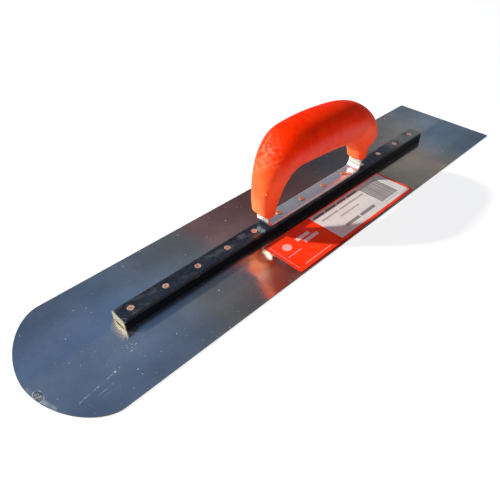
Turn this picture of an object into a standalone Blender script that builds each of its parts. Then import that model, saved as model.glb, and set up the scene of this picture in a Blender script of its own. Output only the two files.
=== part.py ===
"""Steel finishing trowel: a long flat blade, a riveted mounting bar and an arched handle on a strap.

Frame, in metres: the origin is the centre of the blade's underside, +Z is up, +Y points to the square
heel, -Y to the rounded toe and +X to the side that carries the label.
"""
import math

import bmesh
import bpy
from mathutils import Vector

MM = 0.001
GAP = 0.3 * MM                      # air left between two pieces that touch on the real tool
CUT = 1.0 * MM                      # how far a cutter runs past the face that it opens

# Blade: one sheet, its toe a flattened round of the superellipse family.
BLADE_LENGTH = 450.0 * MM
BLADE_WIDTH = 100.0 * MM
BLADE_THICKNESS = 0.7 * MM
TOE_DEPTH = 31.9 * MM
TOE_ACROSS_POWER = 2.0 / 1.84
TOE_ALONG_POWER = 2.0 / 1.74
TOE_STEPS = 40
HEEL_CORNER_RADIUS = 0.8 * MM

# Mounting bar, which lies on the blade along its middle.
BAR_WIDTH = 14.0 * MM
BAR_HEIGHT = 7.7 * MM
BAR_TOE_END = -164.7 * MM
BAR_HEEL_END = 168.3 * MM
BAR_EDGE_RADIUS = 1.5 * MM          # along the two top edges
BAR_END_CHAMFER = 0.4 * MM
GROOVE_WIDTH = 8.0 * MM
GROOVE_DEPTH = 1.0 * MM

# Rivets: studs on the blade, in one row, peened over the bar or over the strap.
RIVET_COUNT = 13
RIVET_FIRST = -155.3 * MM
RIVET_SPACING = 26.07 * MM
STRAP_RIVETS = (6, 7, 8, 9)
SHANK_RADIUS = 1.6 * MM
BAR_HEAD_RADIUS = 2.3 * MM
BAR_HEAD_HEIGHT = 0.9 * MM
STRAP_HEAD_RADIUS = 2.7 * MM
STRAP_HEAD_HEIGHT = 0.6 * MM
RIVET_SIDES = 16

# Handle strap: flat steel bent up at both ends.
STRAP_WIDTH = 12.0 * MM
STRAP_THICKNESS = 2.2 * MM
STRAP_TOE_FACE = -42.3 * MM
STRAP_HEEL_FACE = 70.5 * MM
STRAP_TOE_BEND = 5.0 * MM           # outer radii of the two bends
STRAP_HEEL_BEND = 7.5 * MM
TANG_TOP = 34.0 * MM
TANG_TIP_CHAMFER = 3.0 * MM
BEND_STEPS = 6

# Handle: the grip is lofted along a line in the middle plane. Each row is one station:
# Y and Z of the centre, half depth in the middle plane, half width across it, all in millimetres,
# and the fullness of the section: 2 is an ellipse and larger values are squarer.
GRIP_STATIONS = (
    (-41.4, 18.6, 3.9, 7.6, 3.4),
    (-40.9, 21.0, 6.0, 8.5, 3.2),
    (-40.6, 25.5, 7.2, 9.0, 2.8),
    (-39.4, 32.8, 9.1, 9.8, 2.5),
    (-35.4, 46.1, 11.3, 12.1, 2.3),
    (-28.4, 57.4, 13.4, 14.8, 2.2),
    (-18.6, 63.9, 14.9, 16.9, 2.2),
    (-5.0, 64.9, 15.8, 17.5, 2.2),
    (9.8, 64.4, 16.5, 17.4, 2.2),
    (24.0, 63.3, 16.8, 17.0, 2.2),
    (38.2, 61.3, 17.0, 16.5, 2.2),
    (51.8, 57.6, 16.6, 15.9, 2.2),
    (64.0, 50.0, 15.5, 15.3, 2.2),
    (71.8, 40.4, 14.2, 14.1, 2.2),
)
GRIP_END_DOME = 6.5 * MM
# The rear leg stands under the grip's end.
LEG_STATIONS = (
    (70.9, 20.1, 4.8, 7.7, 3.4),
    (70.9, 22.5, 6.4, 7.9, 3.2),
    (70.2, 27.5, 6.6, 8.8, 2.8),
    (70.2, 34.3, 8.7, 9.9, 2.5),
    (71.5, 42.4, 10.6, 12.0, 2.2),
)
SECTION_SIDES = 24
STEPS_PER_STATION = 3
END_DOME_ANGLES = (25.0, 50.0, 72.0)
PIP_CENTRE = (6.8 * MM, -45.6 * MM, 40.9 * MM)
PIP_RADIUS = 2.4 * MM

# Label: thin printed sheet on the blade, beside the bar.
LABEL_INNER_EDGE = 11.6 * MM
LABEL_OUTER_EDGE = 48.3 * MM
LABEL_TOE_EDGE = -53.5 * MM
LABEL_HEEL_EDGE = 88.6 * MM
LABEL_THICKNESS = 0.15 * MM
LABEL_CORNER_RADIUS = 1.0 * MM

# Heights that follow from the sizes above.
BAR_BOTTOM = BLADE_THICKNESS + GAP
BAR_TOP = BAR_BOTTOM + BAR_HEIGHT
STRAP_BOTTOM = BAR_TOP + GAP
STRAP_TOP = STRAP_BOTTOM + STRAP_THICKNESS


def clear_scene():
    for obj in list(bpy.data.objects):
        bpy.data.objects.remove(obj, do_unlink=True)


def make_material(name, colour, roughness, metallic):
    material = bpy.data.materials.new(name)
    material.use_nodes = True
    shader = material.node_tree.nodes["Principled BSDF"]
    shader.inputs["Base Color"].default_value = (*colour, 1.0)
    shader.inputs["Roughness"].default_value = roughness
    shader.inputs["Metallic"].default_value = metallic
    return material


def add_object(name, mesh_data, material=None, smooth_angle=None):
    """Turn a bmesh into a named object of the scene."""
    bmesh.ops.recalc_face_normals(mesh_data, faces=mesh_data.faces)
    mesh = bpy.data.meshes.new(name)
    mesh_data.to_mesh(mesh)
    mesh_data.free()
    if material is not None:
        mesh.materials.append(material)
    if smooth_angle is not None:
        mesh.shade_smooth()
        mesh.set_sharp_from_angle(angle=math.radians(smooth_angle))
    obj = bpy.data.objects.new(name, mesh)
    bpy.context.scene.collection.objects.link(obj)
    return obj


def extrude_outline(outline, direction):
    """Close an outline of 3-D points as one face and extrude it along a vector."""
    mesh_data = bmesh.new()
    face = mesh_data.faces.new([mesh_data.verts.new(point) for point in outline])
    result = bmesh.ops.extrude_face_region(mesh_data, geom=[face])
    moved = [item for item in result["geom"] if isinstance(item, bmesh.types.BMVert)]
    bmesh.ops.translate(mesh_data, vec=direction, verts=moved)
    return mesh_data


def join_rings(mesh_data, rings):
    """Skin a row of point rings and cap both ends."""
    rows = [[mesh_data.verts.new(point) for point in ring] for ring in rings]
    for lower, upper in zip(rows, rows[1:]):
        for side in range(len(lower)):
            following = (side + 1) % len(lower)
            mesh_data.faces.new((lower[side], lower[following], upper[following], upper[side]))
    mesh_data.faces.new(rows[0])
    mesh_data.faces.new(rows[-1])


def turned_body(profile, sides):
    """Turn a profile of (radius, height) points about the Z axis."""
    mesh_data = bmesh.new()
    angles = [2.0 * math.pi * side / sides for side in range(sides)]
    rings = [
        [(radius * math.cos(a), radius * math.sin(a), height) for a in angles]
        for radius, height in profile
    ]
    join_rings(mesh_data, rings)
    return mesh_data


def rounded_rectangle(low, high, radius, steps):
    """Corner arcs of a rectangle in the XY plane, counter-clockwise."""
    corners = (
        (high[0] - radius, high[1] - radius, 0.0),
        (low[0] + radius, high[1] - radius, 90.0),
        (low[0] + radius, low[1] + radius, 180.0),
        (high[0] - radius, low[1] + radius, 270.0),
    )
    points = []
    for x, y, start in corners:
        for step in range(steps + 1):
            angle = math.radians(start + 90.0 * step / steps)
            points.append((x + radius * math.cos(angle), y + radius * math.sin(angle)))
    return points


def arc_points(centre, radius, start, end, steps):
    """Points of an arc, angles in degrees from the first axis towards the second."""
    points = []
    for step in range(steps + 1):
        angle = math.radians(start + (end - start) * step / steps)
        points.append((centre[0] + radius * math.cos(angle), centre[1] + radius * math.sin(angle)))
    return points


def use_as_cutter(target, cutter, operation="DIFFERENCE"):
    """Apply a Boolean with a helper object, which stays hidden as a wire shape."""
    cutter.hide_render = True
    cutter.display_type = "WIRE"
    modifier = target.modifiers.new(cutter.name, "BOOLEAN")
    modifier.operation = operation
    modifier.solver = "EXACT"
    modifier.object = cutter


def signed_power(value, power):
    return math.copysign(abs(value) ** power, value)


def blade_outline():
    """Square heel with tiny corner rounds, straight sides and the flattened round toe."""
    half_width = BLADE_WIDTH / 2.0
    toe_line = -BLADE_LENGTH / 2.0 + TOE_DEPTH
    heel = BLADE_LENGTH / 2.0
    points = []
    for sign, start in ((1.0, 0.0), (-1.0, 90.0)):
        for step in range(4):
            angle = math.radians(start + 30.0 * step)
            x = sign * (half_width - HEEL_CORNER_RADIUS) + HEEL_CORNER_RADIUS * math.cos(angle)
            y = heel - HEEL_CORNER_RADIUS + HEEL_CORNER_RADIUS * math.sin(angle)
            points.append((x, y, 0.0))
    for step in range(TOE_STEPS + 1):
        angle = math.pi + math.pi * step / TOE_STEPS
        x = half_width * signed_power(math.cos(angle), TOE_ACROSS_POWER)
        y = toe_line + TOE_DEPTH * signed_power(math.sin(angle), TOE_ALONG_POWER)
        points.append((x, y, 0.0))
    return points


def make_blade():
    steel = make_material("blued_steel", (0.16, 0.19, 0.24), 0.22, 1.0)
    body = extrude_outline(blade_outline(), Vector((0.0, 0.0, BLADE_THICKNESS)))
    return add_object("blade", body, steel)


def rivet_places():
    return [(number, RIVET_FIRST + RIVET_SPACING * (number - 1)) for number in range(1, RIVET_COUNT + 1)]


def bar_rivet_profile(extra, bottom, top):
    """Straight shank that flares into a flush head; extra widens it into the cutter of its hole."""
    return (
        (SHANK_RADIUS + extra, bottom),
        (SHANK_RADIUS + extra, BAR_TOP - BAR_HEAD_HEIGHT - extra),
        (BAR_HEAD_RADIUS + extra, BAR_TOP - BAR_HEAD_HEIGHT / 3.0 - extra),
        (BAR_HEAD_RADIUS + extra, top),
    )


def strap_rivet_profile():
    """Long shank with a low domed head that stands on the strap."""
    underside = STRAP_TOP + GAP
    return (
        (SHANK_RADIUS, BAR_BOTTOM),
        (SHANK_RADIUS, underside),
        (STRAP_HEAD_RADIUS, underside),
        (STRAP_HEAD_RADIUS * 0.85, underside + STRAP_HEAD_HEIGHT * 0.6),
        (STRAP_HEAD_RADIUS * 0.45, underside + STRAP_HEAD_HEIGHT),
    )


def make_rivets():
    copper = make_material("copper_plate", (0.78, 0.43, 0.30), 0.38, 1.0)
    for number, place in rivet_places():
        profile = bar_rivet_profile(0.0, BAR_BOTTOM, BAR_TOP)
        if number in STRAP_RIVETS:
            profile = strap_rivet_profile()
        rivet = add_object(f"rivet_{number:02d}", turned_body(profile, RIVET_SIDES), copper, 30.0)
        rivet.location = (0.0, place, 0.0)


def bar_outline():
    """Cross-section of the bar at its toe end: square below, rounded along both top edges."""
    half = BAR_WIDTH / 2.0
    across = half - BAR_EDGE_RADIUS
    height = BAR_TOP - BAR_EDGE_RADIUS
    points = [(-half, BAR_BOTTOM), (half, BAR_BOTTOM)]
    points += arc_points((across, height), BAR_EDGE_RADIUS, 0.0, 90.0, BEND_STEPS // 2)
    points += arc_points((-across, height), BAR_EDGE_RADIUS, 90.0, 180.0, BEND_STEPS // 2)
    return [(x, BAR_TOE_END, z) for x, z in points]


def make_mounting_bar():
    """Extruded backbone with rounded top edges, sawn ends, a groove below and the rivet holes."""
    paint = make_material("black_paint", (0.018, 0.024, 0.036), 0.35, 0.0)
    body = extrude_outline(bar_outline(), Vector((0.0, BAR_HEEL_END - BAR_TOE_END, 0.0)))
    end_edges = [
        edge for edge in body.edges
        if all(abs(vert.co.y - BAR_TOE_END) < GAP for vert in edge.verts)
        or all(abs(vert.co.y - BAR_HEEL_END) < GAP for vert in edge.verts)
    ]
    bmesh.ops.bevel(body, geom=end_edges, offset=BAR_END_CHAMFER, segments=1, affect="EDGES")
    bar = add_object("mounting_bar", body, paint, 40.0)

    side = GROOVE_WIDTH / 2.0
    floor = BAR_BOTTOM - CUT
    groove = extrude_outline(
        [
            (-side, BAR_TOE_END - CUT, floor),
            (side, BAR_TOE_END - CUT, floor),
            (side, BAR_TOE_END - CUT, BAR_BOTTOM + GROOVE_DEPTH),
            (-side, BAR_TOE_END - CUT, BAR_BOTTOM + GROOVE_DEPTH),
        ],
        Vector((0.0, BAR_HEEL_END - BAR_TOE_END + 2.0 * CUT, 0.0)),
    )
    use_as_cutter(bar, add_object("cutter_bar_groove", groove))

    for number, place in rivet_places():
        profile = bar_rivet_profile(GAP, BAR_BOTTOM - CUT, BAR_TOP + CUT)
        if number in STRAP_RIVETS:
            radius = SHANK_RADIUS + GAP
            profile = ((radius, BAR_BOTTOM - CUT), (radius, BAR_TOP + CUT))
        cutter = add_object(f"cutter_bar_hole_{number:02d}", turned_body(profile, RIVET_SIDES))
        cutter.location = (0.0, place, 0.0)
        use_as_cutter(bar, cutter)


def strap_outline():
    """Side view of the bent strap: outer line from the toe tang to the heel tang, then back inside."""
    toe_centre = (STRAP_TOE_FACE + STRAP_TOE_BEND, STRAP_BOTTOM + STRAP_TOE_BEND)
    heel_centre = (STRAP_HEEL_FACE - STRAP_HEEL_BEND, STRAP_BOTTOM + STRAP_HEEL_BEND)
    outer = [(STRAP_TOE_FACE, TANG_TOP)]
    outer += arc_points(toe_centre, STRAP_TOE_BEND, 180.0, 270.0, BEND_STEPS)
    outer += arc_points(heel_centre, STRAP_HEEL_BEND, 270.0, 360.0, BEND_STEPS)
    outer.append((STRAP_HEEL_FACE, TANG_TOP))
    inner = [(STRAP_HEEL_FACE - STRAP_THICKNESS, TANG_TOP)]
    inner += arc_points(heel_centre, STRAP_HEEL_BEND - STRAP_THICKNESS, 360.0, 270.0, BEND_STEPS)
    inner += arc_points(toe_centre, STRAP_TOE_BEND - STRAP_THICKNESS, 270.0, 180.0, BEND_STEPS)
    inner.append((STRAP_TOE_FACE + STRAP_THICKNESS, TANG_TOP))
    return outer + inner


def make_handle_strap():
    steel = make_material("bright_steel", (0.62, 0.64, 0.68), 0.25, 1.0)
    half = STRAP_WIDTH / 2.0
    body = extrude_outline([(-half, y, z) for y, z in strap_outline()], Vector((STRAP_WIDTH, 0.0, 0.0)))
    tip_edges = [
        edge for edge in body.edges
        if all(vert.co.z > TANG_TOP - GAP for vert in edge.verts)
        and abs(edge.verts[0].co.x - edge.verts[1].co.x) < GAP
    ]
    bmesh.ops.bevel(body, geom=tip_edges, offset=TANG_TIP_CHAMFER, segments=1, affect="EDGES")
    strap = add_object("handle_strap", body, steel, 40.0)
    for number, place in rivet_places():
        if number not in STRAP_RIVETS:
            continue
        radius = SHANK_RADIUS + GAP
        profile = ((radius, STRAP_BOTTOM - CUT), (radius, STRAP_TOP + CUT))
        cutter = add_object(f"cutter_strap_hole_{number:02d}", turned_body(profile, RIVET_SIDES))
        cutter.location = (0.0, place, 0.0)
        use_as_cutter(strap, cutter)


def smooth_row(stations, position):
    """Catmull-Rom value of the station table at a fractional row."""
    row = min(int(position), len(stations) - 2)
    t = position - row
    before = stations[max(row - 1, 0)]
    here = stations[row]
    there = stations[row + 1]
    after = stations[min(row + 2, len(stations) - 1)]
    return [
        0.5 * (2 * b + (c - a) * t + (2 * a - 5 * b + 4 * c - d) * t ** 2 + (3 * b - a - 3 * c + d) * t ** 3)
        for a, b, c, d in zip(before, here, there, after)
    ]


def section_ring(centre, along, half_depth, half_width, fullness):
    """One cross-section of the handle, square to its centre line."""
    outward = Vector((0.0, -along.z, along.y))
    power = 2.0 / fullness
    ring = []
    for side in range(SECTION_SIDES):
        angle = 2.0 * math.pi * side / SECTION_SIDES
        depth = half_depth * signed_power(math.cos(angle), power)
        across = half_width * signed_power(math.sin(angle), power)
        ring.append(centre + outward * depth + Vector((across, 0.0, 0.0)))
    return ring


def lofted_stations(stations, end_dome):
    """Skin the stations; a dome of height end_dome closes the last one, unless it is 0."""
    count = (len(stations) - 1) * STEPS_PER_STATION
    rows = [smooth_row(stations, step / STEPS_PER_STATION) for step in range(count + 1)]
    centres = [Vector((0.0, row[0], row[1])) * MM for row in rows]
    rings = []
    for step, row in enumerate(rows):
        along = (centres[min(step + 1, count)] - centres[max(step - 1, 0)]).normalized()
        rings.append(section_ring(centres[step], along, row[2] * MM, row[3] * MM, row[4]))
    for angle in END_DOME_ANGLES if end_dome else ():
        shrink = math.cos(math.radians(angle)) * MM
        centre = centres[-1] + along * end_dome * math.sin(math.radians(angle))
        rings.append(section_ring(centre, along, row[2] * shrink, row[3] * shrink, row[4]))
    mesh_data = bmesh.new()
    join_rings(mesh_data, rings)
    return mesh_data


def tang_slot(name, toe_face):
    """Cutter for the blind slot that holds one tang of the strap."""
    half = STRAP_WIDTH / 2.0 + GAP
    low = toe_face - GAP
    high = toe_face + STRAP_THICKNESS + GAP
    outline = [(-half, low, STRAP_TOP), (half, low, STRAP_TOP), (half, high, STRAP_TOP), (-half, high, STRAP_TOP)]
    return add_object(name, extrude_outline(outline, Vector((0.0, 0.0, TANG_TOP + GAP - STRAP_TOP))))


def make_handle():
    plastic = make_material("orange_plastic", (0.90, 0.085, 0.012), 0.38, 0.0)
    handle = add_object("handle", lofted_stations(GRIP_STATIONS, GRIP_END_DOME), plastic, 50.0)
    leg = add_object("helper_rear_leg", lofted_stations(LEG_STATIONS, 0.0))
    use_as_cutter(handle, leg, "UNION")
    pip = bmesh.new()
    bmesh.ops.create_icosphere(pip, subdivisions=2, radius=PIP_RADIUS)
    pip_body = add_object("helper_pip", pip)
    pip_body.location = PIP_CENTRE
    use_as_cutter(handle, pip_body, "UNION")
    use_as_cutter(handle, tang_slot("cutter_toe_slot", STRAP_TOE_FACE))
    use_as_cutter(handle, tang_slot("cutter_heel_slot", STRAP_HEEL_FACE - STRAP_THICKNESS))


def make_label():
    paper = make_material("printed_label", (0.85, 0.12, 0.03), 0.45, 0.0)
    outline = rounded_rectangle(
        (LABEL_INNER_EDGE, LABEL_TOE_EDGE), (LABEL_OUTER_EDGE, LABEL_HEEL_EDGE), LABEL_CORNER_RADIUS, 3
    )
    base = BLADE_THICKNESS + GAP
    body = extrude_outline([(x, y, base) for x, y in outline], Vector((0.0, 0.0, LABEL_THICKNESS)))
    add_object("blade_label", body, paper)


def main():
    clear_scene()
    make_blade()
    make_mounting_bar()
    make_rivets()
    make_handle_strap()
    make_handle()
    make_label()


main()
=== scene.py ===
"""Finishing trowel, as it looks: materials for the CAD parts, a smooth handle and strap, peened rivets.

Lengths are in millimetres, apart from the names that end in _m, which are in metres. The frame is
the CAD model's: +Z up, +Y to the square heel, +X to the side with the label.
"""
import math

import bmesh
import bpy
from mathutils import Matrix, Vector, noise


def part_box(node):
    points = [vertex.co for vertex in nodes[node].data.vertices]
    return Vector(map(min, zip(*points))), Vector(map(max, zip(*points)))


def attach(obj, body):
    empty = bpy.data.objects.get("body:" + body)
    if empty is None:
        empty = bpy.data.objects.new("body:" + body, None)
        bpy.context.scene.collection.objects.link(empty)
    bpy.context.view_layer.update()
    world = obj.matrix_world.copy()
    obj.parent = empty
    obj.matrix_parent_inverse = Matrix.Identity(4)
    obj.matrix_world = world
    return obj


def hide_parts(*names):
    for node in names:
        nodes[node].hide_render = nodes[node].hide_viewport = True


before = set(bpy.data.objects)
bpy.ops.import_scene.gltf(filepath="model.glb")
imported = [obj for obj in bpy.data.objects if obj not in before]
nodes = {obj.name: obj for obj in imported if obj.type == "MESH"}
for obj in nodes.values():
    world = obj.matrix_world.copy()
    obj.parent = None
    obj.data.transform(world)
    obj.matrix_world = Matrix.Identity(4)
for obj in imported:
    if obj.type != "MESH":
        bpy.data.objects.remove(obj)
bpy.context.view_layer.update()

MM = 0.001
SAME_ALONG = 1000  # A texture stretched this far along an axis does not change along it.


def box_mm(node):
    """Low and high corners of a CAD part."""
    low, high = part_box(node)
    return low * 1000.0, high * 1000.0


def set_stops(ramp_node, stops):
    """Give a colour ramp its stops, each a place from 0 to 1 and a colour."""
    elements = ramp_node.color_ramp.elements
    while len(elements) < len(stops):
        elements.new(1.0)
    for element, (place, colour) in zip(elements, stops):
        element.position = place
        element.color = (*colour, 1.0)


# ---------------------------------------------------------------------------------- materials


class Surface:
    """A Principled material, with short calls that add nodes to it. Places and sizes are in mm."""

    def __init__(self, name):
        self.material = bpy.data.materials.new(name)
        self.material.use_nodes = True
        self.tree = self.material.node_tree
        self.shader = self.tree.nodes["Principled BSDF"]
        place = self.add("ShaderNodeTexCoord").outputs["Object"]
        scaled = self.add("ShaderNodeVectorMath", {0: place, "Scale": 1000.0}, operation="SCALE")
        self.place = scaled.outputs[0]
        self.x, self.y, self.z = self.add("ShaderNodeSeparateXYZ", {0: self.place}).outputs

    def add(self, kind, inputs=None, **settings):
        """A new node with its settings, and with values or links on its inputs."""
        node = self.tree.nodes.new(kind)
        for name, value in settings.items():
            setattr(node, name, value)
        for key, value in (inputs or {}).items():
            self.feed(node.inputs[key], value)
        return node

    def feed(self, socket, value):
        if isinstance(value, bpy.types.NodeSocket):
            self.tree.links.new(value, socket)
        else:
            socket.default_value = value

    def set(self, socket, value):
        """Feed one of the shader's own sockets."""
        self.feed(self.shader.inputs[socket], value)

    def math(self, operation, a, b=0.0, clamp=False):
        return self.add("ShaderNodeMath", {0: a, 1: b}, operation=operation, use_clamp=clamp).outputs[0]

    def vector_math(self, operation, a, b):
        return self.add("ShaderNodeVectorMath", {0: a, 1: b}, operation=operation).outputs[0]

    def times(self, first, *others):
        for other in others:
            first = self.math("MULTIPLY", first, other)
        return first

    def most(self, first, *others):
        for other in others:
            first = self.math("MAXIMUM", first, other)
        return first

    def apart(self, a, b):
        """How far two values are from each other."""
        return self.math("ABSOLUTE", self.math("SUBTRACT", a, b))

    def fade(self, value, start, end, low=0.0, high=1.0):
        """low where value is at start or before it, high where it is at end or past it."""
        inputs = {"Value": value, "From Min": start, "From Max": end, "To Min": low, "To Max": high}
        return self.add("ShaderNodeMapRange", inputs, interpolation_type="SMOOTHSTEP").outputs[0]

    def stretched(self, stretch, turn, shift):
        """Places for a texture that is stretched along its own axes, turned about Z and shifted."""
        inputs = {
            "Vector": self.place,
            "Location": (shift, shift * 0.7, shift * 0.4),
            "Rotation": (0.0, 0.0, math.radians(turn)),
            "Scale": stretch,
        }
        return self.add("ShaderNodeMapping", inputs, vector_type="TEXTURE").outputs[0]

    def noise(self, size, detail=3.0, roughness=0.55, stretch=(1, 1, 1), turn=0.0, shift=0.0):
        inputs = {
            "Vector": self.stretched(stretch, turn, shift),
            "Scale": 1.0 / size,
            "Detail": detail,
            "Roughness": roughness,
        }
        return self.add("ShaderNodeTexNoise", inputs).outputs[0]

    def marks(self, spacing, radius, share, stretch=(1, 1, 1), turn=0.0, shift=0.0):
        """Scattered spots, one at most in each cell of that spacing, or scratches if stretched."""
        cells = self.add(
            "ShaderNodeTexVoronoi",
            {"Vector": self.stretched(stretch, turn, shift), "Scale": 1.0 / spacing},
        )
        chance, size, _ = self.add("ShaderNodeSeparateXYZ", {0: cells.outputs["Color"]}).outputs
        reach = self.math("MULTIPLY_ADD", size, radius / spacing)
        reach.node.inputs[2].default_value = 0.35 * radius / spacing
        inside = self.math("SUBTRACT", 1.0, self.math("DIVIDE", cells.outputs["Distance"], reach))
        present = self.math("LESS_THAN", chance, share)
        return self.times(self.fade(inside, 0.0, 0.5), present)

    def box(self, across, along, soft=0.25):
        """Mask of a rectangle of the XY plane."""
        centre = ((across[0] + across[1]) / 2.0, (along[0] + along[1]) / 2.0)
        out_x = self.math("SUBTRACT", self.apart(self.x, centre[0]), (across[1] - across[0]) / 2.0)
        out_y = self.math("SUBTRACT", self.apart(self.y, centre[1]), (along[1] - along[0]) / 2.0)
        return self.fade(self.math("MAXIMUM", out_x, out_y), soft, 0.0)

    def distance(self, centre, stretch=(1, 1, 1)):
        """Distance from a point, in units of the stretch along each axis."""
        away = self.vector_math("SUBTRACT", self.place, centre)
        away = self.vector_math("DIVIDE", away, stretch)
        return self.add("ShaderNodeVectorMath", {0: away}, operation="LENGTH").outputs["Value"]

    def stroke(self, start, end, width):
        """Mask of a straight scratch on a level face, faded at its sides."""
        half = math.dist(start, end) / 2.0
        dx = (end[0] - start[0]) / (2.0 * half)
        dy = (end[1] - start[1]) / (2.0 * half)
        from_x = self.math("SUBTRACT", self.x, start[0])
        from_y = self.math("SUBTRACT", self.y, start[1])
        ahead = self.math("ADD", self.times(from_x, dx), self.times(from_y, dy))
        aside = self.apart(self.times(from_x, dy), self.times(from_y, dx))
        past = self.math("SUBTRACT", self.apart(ahead, half), half)
        return self.times(self.fade(aside, width, width * 0.3), self.fade(past, width, 0.0))

    def facing(self, direction, start, end):
        """0 to 1 as the surface turns from one cosine to another with a direction."""
        normal = self.add("ShaderNodeNewGeometry").outputs["Normal"]
        aim = Vector(direction).normalized()
        cosine = self.add("ShaderNodeVectorMath", {0: normal, 1: aim}, operation="DOT_PRODUCT")
        return self.fade(cosine.outputs["Value"], start, end)

    def mix(self, share, a, b):
        """A colour between two colours."""
        return self.add("ShaderNodeMix", {0: share, 6: a, 7: b}, data_type="RGBA").outputs[2]

    def tone(self, colour, factor):
        """A colour times a number."""
        shade = self.add("ShaderNodeCombineColor", {0: factor, 1: factor, 2: factor}).outputs[0]
        inputs = {0: 1.0, 6: colour, 7: shade}
        return self.add("ShaderNodeMix", inputs, data_type="RGBA", blend_type="MULTIPLY").outputs[2]

    def multiply(self, colour, factors):
        """A colour times a number for each of its channels."""
        return self.vector_math("MULTIPLY", colour, factors)

    def ramp(self, value, stops):
        node = self.add("ShaderNodeValToRGB", {0: value})
        set_stops(node, stops)
        return node.outputs[0]

    def relief(self, *layers):
        """Bumps one on another: each layer is its height mask and its depth in millimetres."""
        normal = None
        for height, depth in layers:
            inputs = {"Height": height, "Distance": abs(depth) * MM, "Strength": 1.0}
            if normal is not None:
                inputs["Normal"] = normal
            normal = self.add("ShaderNodeBump", inputs, invert=depth < 0.0).outputs[0]
        self.set("Normal", normal)


# Colours of the sheet by the share of its length from the toe, partly its temper tint and partly
# painted reflections of the surroundings and of the handle: on the far side of the bar, then on the
# side with the label.
FAR_BANDS = (
    (0.045, (0.450, 0.556, 0.690)),
    (0.111, (0.500, 0.596, 0.743)),
    (0.145, (0.480, 0.636, 0.780)),
    (0.211, (0.550, 0.620, 0.700)),
    (0.245, (0.484, 0.546, 0.572)),
    (0.300, (0.475, 0.480, 0.450)),
    (0.344, (0.720, 0.410, 0.360)),
    (0.378, (0.610, 0.350, 0.310)),
    (0.445, (0.456, 0.215, 0.190)),
    (0.545, (0.330, 0.170, 0.155)),
    (0.600, (0.330, 0.195, 0.180)),
    (0.645, (0.185, 0.180, 0.188)),
    (0.711, (0.220, 0.212, 0.208)),
    (0.778, (0.420, 0.385, 0.360)),
    (0.878, (0.570, 0.530, 0.470)),
    (0.911, (0.530, 0.530, 0.535)),
    (0.944, (0.450, 0.545, 0.600)),
    (1.000, (0.360, 0.455, 0.550)),
)
NEAR_BANDS = (
    (0.045, (0.590, 0.670, 0.755)),
    (0.100, (0.680, 0.770, 0.850)),
    (0.178, (0.690, 0.720, 0.770)),
    (0.211, (0.660, 0.670, 0.640)),
    (0.245, (0.690, 0.610, 0.480)),
    (0.311, (0.660, 0.480, 0.390)),
    (0.344, (0.560, 0.520, 0.480)),
    (0.500, (0.400, 0.320, 0.300)),
    (0.640, (0.450, 0.420, 0.360)),
    (0.711, (0.570, 0.500, 0.370)),
    (0.744, (0.690, 0.600, 0.460)),
    (0.778, (0.690, 0.595, 0.450)),
    (0.811, (0.770, 0.630, 0.490)),
    (0.844, (0.630, 0.620, 0.570)),
    (0.878, (0.480, 0.577, 0.635)),
    (0.911, (0.313, 0.440, 0.566)),
    (1.000, (0.278, 0.390, 0.500)),
)


def blade_bands(m):
    """Colours that wander along the sheet, partly temper tint and partly painted reflection, with a
    painted shadow of the bar and painted changes to the reflections around the handle's foot.
    """
    low, high = box_mm("blade")
    bar_low, bar_high = box_mm("mounting_bar")
    label_low = box_mm("blade_label")[0]
    foot = label_low.y
    wander = m.times(m.math("SUBTRACT", m.noise(60.0, 2.0, shift=31.0), 0.5), 22.0)
    mottle = m.times(m.math("SUBTRACT", m.noise(9.0, 4.0, 0.6), 0.5), 9.0)
    along = m.math("ADD", m.math("SUBTRACT", m.y, low.y), m.math("ADD", wander, mottle))
    along = m.math("DIVIDE", along, high.y - low.y)
    # Across the sheet the painted reflection is brighter by the bar and dimmer toward the edges.
    far = m.tone(m.ramp(along, FAR_BANDS), m.fade(m.x, -12.0, -38.0, 1.14, 0.84))
    even = m.times(m.fade(m.y, 20.0, 60.0), m.fade(m.y, 165.0, 140.0))
    near = m.tone(m.ramp(along, NEAR_BANDS), m.most(m.fade(m.x, 22.0, 46.0, 1.0, 0.80), even))

    # Cooler on the near side toward the toe, as part of the painted reflection.
    cool = m.times(m.fade(m.x, 16.0, 46.0), m.fade(m.y, 30.0, -25.0))
    near = m.mix(cool, near, m.multiply(near, (0.76, 0.85, 0.97)))
    # A painted shadow of the bar: darker and cooler in a strip along its near side.
    beside_bar = m.times(
        m.fade(m.x, bar_high.x + 9.9, bar_high.x + 8.3),
        m.fade(m.y, bar_low.y + 3.7, bar_low.y + 16.7),
        m.fade(m.y, foot - 6.5, foot - 24.5),
    )
    near = m.mix(beside_bar, near, m.multiply(near, (0.66, 0.72, 0.79)))
    # Bluer by the label's toe end, which dulls the handle's reflection there: painted reflection
    # colour.
    dull = m.times(
        m.fade(m.y, foot - 30.5, foot - 16.5),
        m.fade(m.y, foot + 9.5, foot + 3.5),
        m.fade(m.x, label_low.x + 12.4, label_low.x + 20.4),
    )
    near = m.mix(dull, near, m.multiply(near, (0.85, 1.42, 1.64)))
    # Warmer where the strap's front tang shows in the blade: a painted cream tint on its reflection.
    cream = m.distance((label_low.x + 8.4, foot - 8.5, high.z), (13.0, 14.0, 9.0))
    near = m.mix(m.fade(cream, 1.2, 0.6), near, m.multiply(near, (0.84, 0.68, 0.52)))

    tint = m.mix(m.fade(m.x, -3.0, 3.0), far, near)
    clouds = m.noise(22.0, 4.0, 0.6, shift=5.0)
    grain = m.noise(0.9, 3.0, 0.7)
    tint = m.tone(tint, m.fade(clouds, 0.3, 0.7, 0.92, 1.08))
    tint = m.tone(tint, m.fade(grain, 0.3, 0.7, 0.95, 1.05))
    # A painted dark reflection of the handle's shaded inner face beside the label's toe corner.
    corner = m.distance((label_low.x + 24.0, foot - 1.0, high.z), (14.0, 7.0, 9.0))
    return m.mix(m.fade(corner, 1.1, 0.5, 0.0, 0.5), tint, (0.20, 0.16, 0.18, 1.0))


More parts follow.
